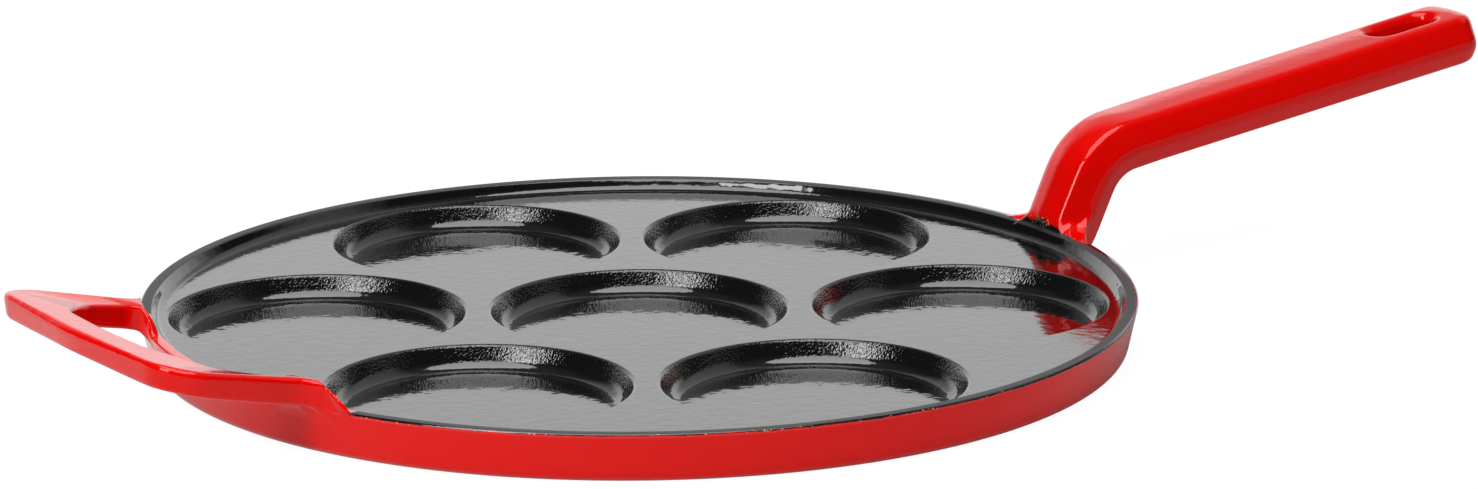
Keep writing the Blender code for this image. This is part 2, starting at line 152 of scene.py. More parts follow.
# Where the handles' roots land on the pan's unrolled skin, as y, run over the rim
# and rounding. Leads and dives are for the top, the bottom and the sides: how far
# out the bending starts, and how steeply a line meets the skin. Further ahead of
# the rim than stated, a line is left as it is. The hearts are stated inwards from
# the rim's foot and upwards, and inwards from its edge, aside and upwards.
LONG_LANDING = ((-0.0125, -0.0024, 0.0040), (0.0, -0.0026, 0.0900), (0.0125, -0.0024, 0.0040),
                (0.0225, 0.0055, 0.0060), (0.0110, 0.0140, 0.0050),
                (-0.0110, 0.0140, 0.0050), (-0.0225, 0.0055, 0.0060))
LONG_LEADS, LONG_DIVES = (0.0050, 0.0030, 0.0110), (0.05, 0.90, 0.05)
LONG_AHEAD, LONG_HEART = 0.0120, (0.0060, 0.0065)
HELPER_LANDING = ((0.0330, 0.0006, 0.0020), (0.0568, 0.0024, 0.0010),
                  (0.0590, 0.0085, 0.0020), (0.0335, 0.0070, 0.0020))
HELPER_LEADS, HELPER_DIVES = (0.0020, 0.0035, 0.0028), (0.80, 0.05, 0.05)
HELPER_AHEAD, HELPER_HEART = 0.0060, (0.0150, 0.0430, 0.0070)
HELPER_CLEAR = 0.0010

# The helper handle's near arm from above: the start of its lines over the pan,
# then the edge's distance from the side there and its corners as distance from
# the tip, distance from the side and rounding, for the outer and the inner edge.
# The bar is a shallow bow. The straight runs have more parts: an arm, a cut
# corner and half of the bar.
ARM_START = -0.1130
ARM_OUTSIDE = (0.0031, (0.0108, -0.0010, 0.0115), (0.0030, 0.0064, 0.0115))
ARM_INSIDE = (0.0040, (0.0241, 0.0118, 0.0180), (0.0124, 0.0273, 0.0150))
BAR_WIDTH = 0.0116
BAR_BOW = 0.0976
ARM_STEPS, BAR_STEPS = 6, 12
STRAIGHT_PARTS = (50, 3, 8)

# How an arm spreads to the rim, outside and inside: width, start ahead of the
# rim, and run
SPREAD_OUTSIDE = (0.0118, 0.0071, 0.0140)
SPREAD_INSIDE = (-0.0070, 0.0065, 0.0080)

# Its plate: thickness at the rim and how much less at the tip, fall of the arms'
# inner top edge with its place and run, how far the lower edges draw in, the
# roundings from the inner top edge on, and the longest facet
PLATE_THICKNESS, PLATE_THINNING = 0.0078, 0.0012
ARM_FALL, ARM_FALL_PLACE, ARM_FALL_RUN = 0.0013, 0.1580, 0.0150
DRAW_OUTSIDE, DRAW_INSIDE = 0.0009, 0.0004
PLATE_ROUNDINGS = (0.0012, 0.0016, 0.0015, 0.0012)
PLATE_RUN = 0.0013

# Noises in the enamel, by their grain in metres and their detail, and the grain,
# the depth and the darkest shade of the sand-cast iron
ENAMEL_GRAIN = {"ragged": (0.0030, 4.0), "speck": (0.0007, 1.0),
                "peel": (0.0030, 1.0), "pit": (0.0006, 1.0)}
PEEL_DEPTH, PIT_DEPTH = 0.00006, 0.00015
SAND_GRAIN, SAND_DEPTH, SAND_SHADE = 0.0008, 0.0001, 0.6

# Roughness of the glaze, of the rim's thin top, and what the pits add
GLOSSY, DULL, PITTED = 0.085, 0.55, 0.03

# The line between black and red: its bow at the long handle, its step beside the
# helper handle's arms, the cone within the wall, how far it wanders, its softness,
# its band of specks, and the way from the front of the pan to its back
LONG_EDGE_BOW, LONG_EDGE_OUT = 7.25, 0.0003
HELPER_EDGE_STEP, HELPER_EDGE_OUT = (0.0558, 0.0572), 0.0020
WITHIN_LEVEL, WITHIN_LEAN = 0.0032, 0.104
WANDER = 0.0004
GLAZE_BLEND = 0.00012
SPECK_BAND = (0.0005, 0.0001)
SPECK_LIMITS = (0.66, 0.72)
FRONT_TO_BACK = (0.52, 0.85)

# The floor, how white and bright its paper shows, the place that the lamps face,
# and the way from the pan to the pale wall
FLOOR_EDGE = 6.0
FLOOR_DROP = 0.0001
PAPER_WHITENESS = 0.86
PAPER_GLOW = 1.1
LIT_POINT = (0.05, 0.0, 0.0)
PALE_WALL_WAY = (0.98, 0.17, 0.0)

# An outline's corner, rounded to a radius in a number of steps
Corner = namedtuple("Corner", "x y radius steps", defaults=(0.0, EDGE_STEPS))

# The camera that took the photograph, found by fitting the pan's circles to it
CAMERA_PLACE = (-0.9095, -1.4889, 0.4804)
CAMERA_HEADING = math.radians(-32.297)
CAMERA_TILT = math.radians(75.44)
CAMERA_ROLL = math.radians(-0.323)
CAMERA_LENS = 165.14


def hex_colour(code):
    """An sRGB hex colour as linear red, green and blue."""
    channels = []
    for start in (0, 2, 4):
        value = int(code[start:start + 2], 16) / 255
        if value <= 0.04045:
            channels.append(value / 12.92)
        else:
            channels.append(((value + 0.055) / 1.055) ** 2.4)
    return tuple(channels)


def length(name, description, default):
    """A length that a user may change."""
    return FloatProperty(name=name, description=description, default=default,
                         unit="LENGTH", precision=5)


def shade(name, description, code):
    """A colour that a user may change, from its hex code."""
    return FloatVectorProperty(name=name, description=description, default=hex_colour(code),
                               subtype="COLOR", min=0.0, max=1.0)


class PanSizes(bpy.types.PropertyGroup):
    """Sizes of the disc, its rim and its wells."""

    coat: length("Coat", "Thickness of the enamel", 0.0004)
    face_height: length("Face height", "Height of the cooking face", 0.0101)
    rim_height: length("Rim height", "Height of the rim's flat top", 0.0133)
    rim_foot: length("Rim foot", "Radius where the rim leaves the face", 0.1278)
    rim_inside: length("Rim inside", "Radius of the rim's inner edge", 0.1296)
    rim_radius: length("Rim radius", "Radius of the rim's outer edge", 0.1328)
    base_radius: length("Base radius", "Radius of the wall's foot", 0.1300)
    seam_height: length("Seam height", "Height where the coats join", 0.0122)
    glaze_height: length("Glaze height", "Height where black meets red", 0.0121)
    bulge: length("Bulge", "How far the rim swells at the long handle", 0.0017)
    bulge_angle: FloatProperty(name="Bulge angle", description="How wide the rim's swelling is",
                               default=math.radians(24.0), subtype="ANGLE")
    glaze_tilt: FloatProperty(name="Glaze tilt", description="Slope of the line between coats",
                              default=0.0060, precision=4)
    well_radius: length("Well radius", "Radius of a well at its lip", 0.0396)
    well_depth: length("Well depth", "Depth of a well below the face", 0.0060)
    well_circle: length("Well circle", "Radius of the outer wells' circle", 0.0857)
    well_lip: length("Well lip", "Rounding of a well's lip", 0.0012)
    wells_around: IntProperty(name="Wells around", description="Wells around the middle one",
                              default=6, min=3)


class HandleSizes(bpy.types.PropertyGroup):
    """Sizes of the long handle and the helper handle."""

    neck_angle: FloatProperty(name="Neck angle", description="Climb of the long handle's neck",
                              default=math.radians(64.4), subtype="ANGLE")
    neck_rise: length("Neck rise", "Height that the neck climbs", 0.0272)
    grip_angle: FloatProperty(name="Grip angle", description="Climb of the long handle's grip",
                              default=math.radians(7.6), subtype="ANGLE")
    grip_length: length("Grip length", "Length from the bend to the tip", 0.1298)
    grip_width: length("Grip width", "Width at the side ridges", 0.0222)
    grip_top_width: length("Grip top width", "Width of the flat top", 0.0170)
    grip_thickness: length("Grip thickness", "Thickness of the grip", 0.0142)
    slot_length: length("Slot length", "Length of the hanging slot", 0.0218)
    slot_width: length("Slot width", "Width of the hanging slot", 0.0092)
    helper_width: length("Helper width", "Width over the two arms", 0.0976)
    helper_reach: length("Helper reach", "Reach beyond the rim", 0.0376)
    helper_rise: length("Helper rise", "Height of the tip over the rim", 0.0174)
    helper_slope: FloatProperty(name="Helper slope", description="Fall of the plate to the pan",
                                default=0.215)


class EnamelColours(bpy.types.PropertyGroup):
    """Colours of the two glazes, as they look under white light."""

    red: shade("Red", "Glaze outside", "e00501")
    black: shade("Black", "Glaze on the cooking side", "0c0d0e")
    thin: shade("Thin black", "Grey iron through thin black", "3a3c3e")
    glass: shade("Red glass", "Tint of what the red mirrors", "ffa09a")
    speck: shade("Speck", "Specks where the glazes meet", "cfae7a")
    iron: shade("Iron", "Bare casting under the enamel", "4a4a4c")


class StudioLight(bpy.types.PropertyGroup):
    """Strengths of the studio's lights, and the colours of its floor."""

    key: FloatProperty(name="Key", description="Soft box high on the left", default=10.0,
                       unit="POWER")
    top: FloatProperty(name="Top", description="Even light from overhead", default=15.0,
                       unit="POWER")
    fill: FloatProperty(name="Fill", description="Even light from the front", default=1.0,
                        unit="POWER")
    paper: shade("Paper", "Floor, as the lamps light it", "e7e7e7")
    # Painted shade: a darker grey copy of the paper that only the glaze mirrors
    paper_shade_in_glaze: shade("Mirrored paper", "Floor in the glaze", "898989")


def clamped(value):
    """The value, kept between 0 and 1."""
    return min(max(value, 0.0), 1.0)


def rounded(corners):
    """Turns corners into points, with an arc at each rounded one."""
    count = len(corners)
    points = []
    for index, (x, y, radius, steps) in enumerate(corners):
        here = Vector((x, y))
        if radius <= 0.0:
            points.append(here)
            continue
        last = Vector(corners[index - 1][:2])
        following = Vector(corners[(index + 1) % count][:2])
        before = (here - last).normalized()
        after = (following - here).normalized()
        turn = before.angle_signed(after)
        half = math.tan(abs(turn) / 2)
        room = EDGE_SHARE * min((here - last).length, (following - here).length)
        radius = min(radius, room / half)
        start = here - before * radius * half
        side = math.copysign(1.0, turn)
        centre = start + Vector((before.y, -before.x)) * radius * side
        arm = start - centre
        for step in range(steps + 1):
            spoke = arm.copy()
            spoke.rotate(Matrix.Rotation(-turn * step / steps, 2))
            points.append(centre + spoke)
    return points


def subdivided(points, parts):
    """Splits each run between points into the given number of parts."""
    fine = [points[0]]
    for start, end, count in zip(points, points[1:], parts):
        for part in range(1, count + 1):
            fine.append(start.lerp(end, part / count))
    return fine


def parts_for(points, longest):
    """How many parts each run needs to stay under a length."""
    slack = 1e-6
    return [max(1, math.ceil((end - start).length / longest - slack))
            for start, end in zip(points, points[1:])]


def new_object(name, data):
    """An object at the origin, linked to the scene."""
    item = bpy.data.objects.new(name, data)
    bpy.context.scene.collection.objects.link(item)
    return item


def made_plain(item):
    """Applies the modifiers, so that a plain mesh is left."""
    depsgraph = bpy.context.evaluated_depsgraph_get()
    mesh = bpy.data.meshes.new_from_object(item.evaluated_get(depsgraph))
    item.modifiers.clear()
    item.data = mesh
    mesh.name = item.name
    return item


def set_inputs(node, inputs):
    """Sets or links a node's inputs, given by name or number, or in order.

    A node as a value is linked by the first of its outputs that is in use.
    """
    for key, value in inputs.items() if isinstance(inputs, dict) else enumerate(inputs):
        if isinstance(value, bpy.types.Node):
            value = next(output for output in value.outputs if output.enabled)
        if isinstance(value, bpy.types.NodeSocket):
            node.id_data.links.new(value, node.inputs[key])
        else:
            node.inputs[key].default_value = value


def add_node(tree, kind, inputs=(), **settings):
    """Adds a node with its settings and its inputs."""
    node = tree.nodes.new(kind)
    for name, value in settings.items():
        setattr(node, name, value)
    set_inputs(node, inputs)
    return node


def new_tree(name, sockets):
    """A geometry tree with named inputs, what it starts with, and its add_node."""
    tree = bpy.data.node_groups.new(name, "GeometryNodeTree")
    tree.interface.new_socket("Geometry", in_out="OUTPUT", socket_type="NodeSocketGeometry")
    for title, kind in sockets:
        tree.interface.new_socket(title, in_out="INPUT", socket_type="NodeSocket" + kind)
    return tree, tree.nodes.new("NodeGroupInput").outputs, partial(add_node, tree)


def end_tree(add, geometry, enamel):
    """Ends a tree with real geometry in its enamel."""
    real = add("GeometryNodeRealizeInstances", (geometry,))
    coated = add("GeometryNodeSetMaterial", {"Geometry": real, "Material": enamel})
    add("NodeGroupOutput", (coated,))


def add_tree(item, tree, values):
    """Adds the tree as a modifier, with its inputs set by identifier."""
    modifier = item.modifiers.new(tree.name, "NODES")
    modifier.node_group = tree
    for socket in tree.interface.items_tree:
        if socket.in_out == "INPUT" and socket.name in values:
            modifier[socket.identifier] = values[socket.name]


def turning_tree():
    """Turns the profile's points about the upright axis into a surface."""
    tree, start, add = new_tree("Turned", [
        ("Profile", "Geometry"), ("Segments", "Int"), ("Enamel", "Material")])
    profile = start["Profile"]
    segments = start["Segments"]
    count = add("GeometryNodeAttributeDomainSize", (profile,))
    rows = add(MATH, (segments, 1.0), operation="ADD")
    grid = add("GeometryNodeMeshGrid", {
        "Vertices X": count.outputs["Point Count"], "Vertices Y": rows})
    index = add("GeometryNodeInputIndex")
    share = add(MATH, (index, rows), operation="DIVIDE")
    place = add(MATH, (share,), operation="FLOOR")
    step = add(MATH, (index, rows), operation="MODULO")
    turns = add(MATH, (step, segments), operation="DIVIDE")
    angle = add(MATH, (turns, math.tau), operation="MULTIPLY")
    sample = add("GeometryNodeSampleIndex", {
        "Geometry": profile, "Value": add("GeometryNodeInputPosition"),
        "Index": place}, data_type="FLOAT_VECTOR")
    radius, _, height = add("ShaderNodeSeparateXYZ", (sample,)).outputs
    sides = []
    for operation in ("COSINE", "SINE"):
        wave = add(MATH, (angle,), operation=operation)
        sides.append(add(MATH, (radius, wave), operation="MULTIPLY"))
    point = add("ShaderNodeCombineXYZ", (*sides, height))
    moved = add("GeometryNodeSetPosition", {"Geometry": grid, "Position": point})
    merged = add("GeometryNodeMergeByDistance", {"Geometry": moved, "Distance": SAME_POINT})
    end_tree(add, merged, start["Enamel"])
    return tree


def wells_tree():
    """Sets one well in the middle and the others evenly around it."""
    tree, start, add = new_tree("Wells", [
        ("Well", "Geometry"), ("Around", "Int"), ("Circle", "Float"), ("Enamel", "Material")])
    ring = add("GeometryNodeMeshCircle", {"Vertices": start["Around"], "Radius": start["Circle"]})
    half = add(MATH, (math.pi, start["Around"]), operation="DIVIDE")
    turn = add("ShaderNodeCombineXYZ", {"Z": half})
    turned_ring = add("GeometryNodeTransform", {"Geometry": ring, "Rotation": turn})
    places = add("GeometryNodeJoinGeometry", (turned_ring,))
    set_inputs(places, (add("GeometryNodeMeshLine", {"Count": 1}),))
    wells = add("GeometryNodeInstanceOnPoints", {"Points": places, "Instance": start["Well"]})
    end_tree(add, wells, start["Enamel"])
    return tree


def turned(name, profile, segments, material):
    """An object turned from a profile of (radius, height) points."""
    mesh = bpy.data.meshes.new(name)
    mesh.from_pydata([(x, 0.0, z) for x, z in profile], [], [])
    item = new_object(name, mesh)
    tree = bpy.data.node_groups.get("Turned") or turning_tree()
    add_tree(item, tree, {"Segments": segments, "Enamel": material})
    return item


def finished(item, facing, material):
    """Turns an open surface the right way, and smooths all but its creases.

    The facing is a direction that the surface's faces look along on the whole.
    """
    item.data.materials.clear()
    item.data.materials.append(material)
    item.data.polygons.foreach_set("material_index", [0] * len(item.data.polygons))
    shape = bmesh.new()
    shape.from_mesh(item.data)
    bmesh.ops.remove_doubles(shape, verts=shape.verts, dist=SAME_POINT)
    bmesh.ops.recalc_face_normals(shape, faces=shape.faces)
    total = sum((face.normal * face.calc_area() for face in shape.faces), Vector())
    if total.dot(Vector(facing)) < 0.0:
        bmesh.ops.reverse_faces(shape, faces=shape.faces)
    shape.to_mesh(item.data)
    shape.free()
    smooth(item)


def smooth(item):
    """Smooth shading, with creases where faces meet at a sharp angle."""
    item.data.shade_smooth()
    item.data.set_sharp_from_angle(angle=CREASE)


def thickened(item, coat):
    """Gives a skin the coat's thickness, inwards, and leaves a plain mesh."""
    shell = item.modifiers.new("Coat", "SOLIDIFY")
    shell.thickness = coat
    shell.offset = -1.0
    shell.use_even_offset = True
    made_plain(item)
    smooth(item)


def loft(name, rings, material):
    """A closed solid through rings of points."""
    mesh = bpy.data.meshes.new(name)
    shape = bmesh.new()
    rows = [[shape.verts.new(point) for point in ring] for ring in rings]
    for near, far in zip(rows, rows[1:]):
        for index in range(len(near)):
            following = (index + 1) % len(near)
            shape.faces.new((near[index], near[following], far[following], far[index]))
    shape.faces.new(list(reversed(rows[0])))
    shape.faces.new(rows[-1])
    bmesh.ops.recalc_face_normals(shape, faces=shape.faces)
    shape.to_mesh(mesh)
    shape.free()
    mesh.materials.append(material)
    return new_object(name, mesh)


def softened(item, voxel):
    """Melts the edges of a solid the way a glaze does, and leaves a plain mesh."""
    remesh = item.modifiers.new("Glaze", "REMESH")
    remesh.mode = "VOXEL"
    remesh.voxel_size = voxel
    remesh.use_smooth_shade = True
    melt = item.modifiers.new("Melt", "SMOOTH")
    melt.factor = 0.5
    melt.iterations = MELT_PASSES
    made_plain(item)
    item.data.shade_smooth()


def wall_radius(sizes, height):
    """The radius of the leaning wall at a height."""
    share = height / sizes.rim_height
    return sizes.base_radius + (sizes.rim_radius - sizes.base_radius) * share


def bulged(place, sizes):
    """A point of the rim or wall, moved out by the bulge at the long handle."""
    radius = math.hypot(place.x, place.y)
    share = clamped((radius - sizes.rim_foot) / (sizes.rim_radius - sizes.rim_foot))
    share *= clamped(place.z / sizes.rim_height)
    angle = math.atan2(place.y, place.x) / sizes.bulge_angle
    factor = 1.0 + sizes.bulge * share * math.exp(-angle ** 2) / max(radius, SAME_POINT)
    return Vector((place.x * factor, place.y * factor, place.z))


def skin_point(sizes, side, y, run):
    """A point on the pan's skin, by its y and its run over the rim.

    The run is 0 at the rim's inner edge, negative down the rim's inner slope,
    and goes over the rim's top and down the wall. The side is +1 at the long
    handle and -1 at the helper handle.
    """
    top = sizes.rim_radius - sizes.rim_inside
    if run < 0.0:
        lean = Vector((sizes.rim_inside - sizes.rim_foot, sizes.rim_height - sizes.face_height))
        lean.normalize()
        radius = sizes.rim_inside + run * lean.x
        height = sizes.rim_height + run * lean.y
    elif run < top:
        radius = sizes.rim_inside + run
        height = sizes.rim_height
    else:
        height = sizes.rim_height - (run - top)
        radius = wall_radius(sizes, height)
    return bulged(Vector((side * math.sqrt(radius ** 2 - y ** 2), y, height)), sizes)


def landing_outline(corners, parts):
    """A closed outline on the unrolled skin, with a point for each line."""
    outline = rounded([Corner(*corner) for corner in corners])
    outline = subdivided(outline + outline[:1], parts)[:-1]
    area = sum(a.x * b.y - b.x * a.y for a, b in zip(outline, outline[1:] + outline[:1]))
    return outline, math.copysign(1.0, area)


def rooted(lines, sizes, side, corners, parts, leads, dives, clear, ahead, heart):
    """Lands all the lines of a handle's root on the skin, and closes it inside.

    The corners are where it lands, and the leads and dives say how it bends
    there. No line bends nearer to the pan's middle than the clear radius, and
    from the station ahead a line is left as it is. The heart is a point deep in
    the rim, towards which the lines end.
    """
    outline, sign = landing_outline(corners, parts)
    result = []
    for index, (y, run) in enumerate(outline):
        before = outline[index - 1]
        after = outline[(index + 1) % len(outline)]
        along = (after - before).normalized()
        away = Vector((along.y, -along.x)) * sign
        place = skin_point(sizes, side, y, run)
        ahead_of, behind, beside = (
            skin_point(sizes, side, y + way.x * SKIN_PROBE, run + way.y * SKIN_PROBE)
            for way in (away, -away, along))
        direction = (ahead_of - behind).normalized()
        normal = (beside - place).cross(direction).normalized() * (side * sign)
        weights = np.array([max(0.0, -away.y), max(0.0, away.y), abs(away.x)]) ** 2
        lead = float(np.dot(weights, leads))
        dive = float(np.dot(weights, dives))
        line = lines[index]

        # The station where the line is nearest, and the one where it starts to bend
        gaps = np.linalg.norm(line[:ahead + 1] - np.array(place), axis=1)
        station = int(np.argmin(gaps))
        while np.hypot(*line[station][:2]) < clear:
            station += 1
        corner = Vector(line[station])
        while station < ahead and (Vector(line[station]) - corner).length < lead:
            station += 1
        start = Vector(line[station])

        # A Bezier curve from there to the skin, with handles that reach half the way
        # to the corner, and on under the skin
        heading = (start - Vector(line[station + 1])).normalized()
        arriving = (direction * (1.0 - dive) - normal * dive).normalized()
        first = start + heading * (0.5 * (corner - start).length)
        second = place - arriving * (0.5 * (place - corner).length)
        curve = []
        for count in range(ROOT_STEPS + 1):
            t = count / ROOT_STEPS
            s = 1.0 - t
            curve.append(place * s ** 3 + second * (3 * s * s * t) + first * (3 * s * t * t)
                         + start * t ** 3)
        buried = place + arriving * BURIED[0] - normal * BURIED[1]
        deep = buried.lerp(heart, TO_HEART)

        # The rest of the line, with the same number of points for every line
        stations = np.linspace(station, ahead, ROOT_STEPS)[1:]
        below = np.floor(stations).astype(int)
        part = (stations - below)[:, None]
        middle = line[below] * (1.0 - part) + line[below + 1] * part
        near = np.array([tuple(point) for point in [deep, buried] + curve])
        result.append(np.vstack([near, middle, line[ahead + 1:]]))
    return np.array(result)


def path_directions(path):
    """The direction at each point of an upright path."""
    padded = [path[0], *path, path[-1]]
    return [(after - before).normalized() for before, after in zip(padded, padded[2:])]


def upright(angle):
    """The direction that climbs at an angle in the long handle's upright plane."""
    return Vector((math.cos(angle), math.sin(angle)))


def long_section(sizes, grow, reach, shrink):
    """The long handle's section at a reach from its start, as rounded corners.

    The neck's top is crowned, and its far edge is fuller than its near one.
    """
    top = sizes.grip_top_width / 2 + grow
    side = sizes.grip_width / 2 + MELT + grow
    bottom = UNDERSIDE_HALF + grow + UNDER_TIP * shrink
    root = clamped((reach - ROOT_REACH) / ROOT_RUN)
    half = (ROOT_THICKNESS + (sizes.grip_thickness - ROOT_THICKNESS) * root - shrink) / 2
    ridge = half - RIDGE_FALL
    neck = clamped((NECK_REACH - reach) / NECK_RUN)
    under = -half - UNDER - UNDER_NECK * neck - UNDER_TIP * shrink
    tops = ((-top, half - MELT), (0.0, half + CROWN), (top, half - MELT))
    return [
        Corner(x + neck * aside, y + neck * up, radius + neck * more)
        for (x, y), (radius, aside, up, more) in zip(tops, TOP_CORNERS)
    ] + [
        Corner(side, ridge, RIDGE_ROUNDING),
        Corner(bottom, under, UNDERSIDE_ROUNDING),
        Corner(-bottom, under, UNDERSIDE_ROUNDING),
        Corner(-side, ridge, RIDGE_ROUNDING),
    ]


def long_handle_lines(pan, sizes):
    """Lines along the long handle, its middle line, and the parts of its section."""
    inner = Vector((pan.rim_radius - LINE_START, LINE_HEIGHT))
    foot = Vector((pan.rim_radius + LINE_FOOT, LINE_HEIGHT))
    neck = upright(sizes.neck_angle)
    bend = foot + neck * (sizes.neck_rise / neck.y)
    grip = upright(sizes.grip_angle)
    end = bend + grip * (sizes.grip_length - TIP_LENGTH)
    path = rounded([Corner(*inner), Corner(*foot, FOOT_ROUNDING, BEND_STEPS),
                    Corner(*bend, BEND_ROUNDING, BEND_STEPS), Corner(*end)])
    path = subdivided(path, parts_for(path, SECTION_RUN))
    last = len(path) - 1
    for step in range(1, TIP_STEPS + 1):
        path.append(end + grip * TIP_LENGTH * math.sin(step / TIP_STEPS * math.pi / 2))
    total = sum((b - a).length for a, b in zip(path, path[1:]))
    reach = 0.0
    rings = []
    for index, (here, direction) in enumerate(zip(path, path_directions(path))):
        if index:
            reach += (here - path[index - 1]).length
        shrink = 0.0
        if index > last:
            shrink = TIP_SHRINK * (1.0 - math.cos((index - last) / TIP_STEPS * math.pi / 2))
        grow = TAPER * (reach / total - 0.5) - shrink
        section = rounded(long_section(sizes, grow, reach, shrink))
        if index == 0:
            parts = parts_for(section + section[:1], SECTION_RUN)
        section = subdivided(section + section[:1], parts)[:-1]
        up = Vector((-direction.y, direction.x))
        ring = []
        for across, rise in section:
            place = here + up * rise
            ring.append((place.x, across, place.y))
        rings.append(ring)
    return np.array(rings).transpose(1, 0, 2), path, parts


def slot_cutter(path, sizes):
    """The hanging slot's cutter: a stadium that opens wider at both faces."""
    middle = path[-1] - upright(sizes.grip_angle) * (SLOT_INSET + sizes.slot_length / 2)
    half = sizes.grip_thickness / 2
    levels = [(half - depth, flare) for depth, flare in SLOT_MOUTH]
    levels.append((2.0 * half, SLOT_MOUTH[-1][1]))
    levels = [(-height, flare) for height, flare in reversed(levels)] + levels
    turn = Matrix.Rotation(-sizes.grip_angle, 4, "Y")
    move = Matrix.Translation((middle.x, 0.0, middle.y))
    run = (sizes.slot_length - sizes.slot_width) / 2
    rings = []
    for height, flare in levels:
        radius = sizes.slot_width / 2 + flare
        ring = []
        for end in (1, -1):
            for step in range(SLOT_STEPS + 1):
                angle = math.pi * (step / SLOT_STEPS - 0.5)
                ring.append(move @ turn @ Vector((
                    end * (run + radius * math.cos(angle)), end * radius * math.sin(angle),
                    height)))
        rings.append(ring)
    return rings


def helper_outline(sizes, reach, edge, inset):
    """One edge of the helper handle seen from above, from root to root.

    The far arm mirrors the near one. The edge is the near arm's, and the inset
    is how far the bar's edge keeps inside the tip.
    """
    side = sizes.helper_width / 2
    start, *corners = edge
    near = [Corner(ARM_START, start - side)] + [
        Corner(from_tip - reach, from_side - side, radius, ARM_STEPS)
        for from_tip, from_side, radius in corners]
    far = [corner._replace(y=-corner.y) for corner in near[::-1]]
    points = rounded(near + [Corner(inset - reach, 0.0, BAR_BOW, BAR_STEPS)] + far)
    parts = [1] * (len(points) - 1)
    for corner, count in enumerate(STRAIGHT_PARTS):
        run = corner * (ARM_STEPS + 1)
        parts[run] = parts[-1 - run] = count
    return subdivided(points, parts)


def spread(pan, sizes, place, width, ahead, run):
    """A place on an arm's edge, moved aside by up to a width as it nears the rim."""
    rim = math.sqrt(pan.rim_radius ** 2 - min(abs(place.y), sizes.helper_width / 2) ** 2)
    share = clamped((rim + place.x + ahead) / run) ** 2
    return place + Vector((0.0, math.copysign(1.0, place.y) * width * share))


def helper_lines(pan, sizes):
    """Lines around the helper handle, from the near arm's root to the far arm's."""
    reach = pan.rim_radius + sizes.helper_reach
    outside = helper_outline(sizes, reach, ARM_OUTSIDE, 0.0)
    inside = helper_outline(sizes, reach, ARM_INSIDE, BAR_WIDTH)
    rings = []
    for outer, inner in zip(outside, inside):
        outer = spread(pan, sizes, outer, *SPREAD_OUTSIDE)
        inner = spread(pan, sizes, inner, *SPREAD_INSIDE)
        tops = []
        bottoms = []
        for place in (outer, inner):
            tops.append(pan.rim_height + sizes.helper_rise - sizes.helper_slope * (place.x + reach))
            share = clamped((-place.x - pan.rim_radius) / sizes.helper_reach)
            bottoms.append(tops[-1] - (PLATE_THICKNESS - PLATE_THINNING * share))
        arm = clamped((inner.x + ARM_FALL_PLACE) / ARM_FALL_RUN)
        tops[1] -= arm * arm * (3.0 - 2.0 * arm) * ARM_FALL
        span = (outer - inner).length
        outward = (outer - inner) / span
        corners = ((-span, tops[1]), (0.0, tops[0]),
                   (-DRAW_OUTSIDE, bottoms[0]), (DRAW_INSIDE - span, bottoms[1]))
        section = rounded([Corner(*corner, radius)
                           for corner, radius in zip(corners, PLATE_ROUNDINGS)])
        if not rings:
            parts = parts_for(section + section[:1], PLATE_RUN)
        section = subdivided(section + section[:1], parts)[:-1]
        rings.append([(*(outer + outward * across), height) for across, height in section])
    return np.array(rings).transpose(1, 0, 2), parts


def new_material(name):
    """A material, its add_node, its Principled shader and its Object coordinates."""
    material = bpy.data.materials.new(name)
    material.use_nodes = True
    add = partial(add_node, material.node_tree)
    shader = material.node_tree.nodes["Principled BSDF"]
    return material, add, shader, add("ShaderNodeTexCoord").outputs["Object"]


def blackness(add, pan, coordinates, radius, x, y, z):
    """How deep a place lies in the black glaze, in metres. Below 0 it is red."""
    # From above, black ends in a bow at the long handle, and on the rim's inner
    # edge between the helper handle's arms
    squared = add(MATH, (y, y), operation="MULTIPLY")
    long_limit = add(MATH, (squared, LONG_EDGE_BOW, pan.rim_inside + LONG_EDGE_OUT),
                     operation="MULTIPLY_ADD")
    aside = add(MATH, (y,), operation="ABSOLUTE")
    helper_limit = add(RAMP, (aside, *HELPER_EDGE_STEP, pan.rim_inside,
                              pan.rim_radius + HELPER_EDGE_OUT), **SMOOTH)
    towards = add(MATH, (x, 0.0), operation="GREATER_THAN")
    limit = add(MIX, {0: towards, 2: helper_limit, 3: long_limit})
    inside = add(MATH, (limit, radius), operation="SUBTRACT")

    # All that lies within the wall is black: the face, the wells and the rim's slope
    climb = add(MATH, (z, WITHIN_LEVEL), operation="SUBTRACT")
    slope = add(MATH, (climb, WITHIN_LEAN, pan.base_radius), operation="MULTIPLY_ADD")
    within = add(MATH, (slope, radius), operation="SUBTRACT")
    face = add(MATH, (within, climb), operation="MINIMUM")

    # Elsewhere it is what lies above the seam, which falls towards the back
    tilt = [part * pan.glaze_tilt for part in FRONT_TO_BACK]
    raised = add(VECTOR_MATH, (coordinates, (*tilt, 1.0)), operation="DOT_PRODUCT")
    over = add(MATH, (raised, pan.glaze_height), operation="SUBTRACT")
    above = add(MATH, (over, face), operation="MAXIMUM")
    return add(MATH, (inside, above), operation="MINIMUM")


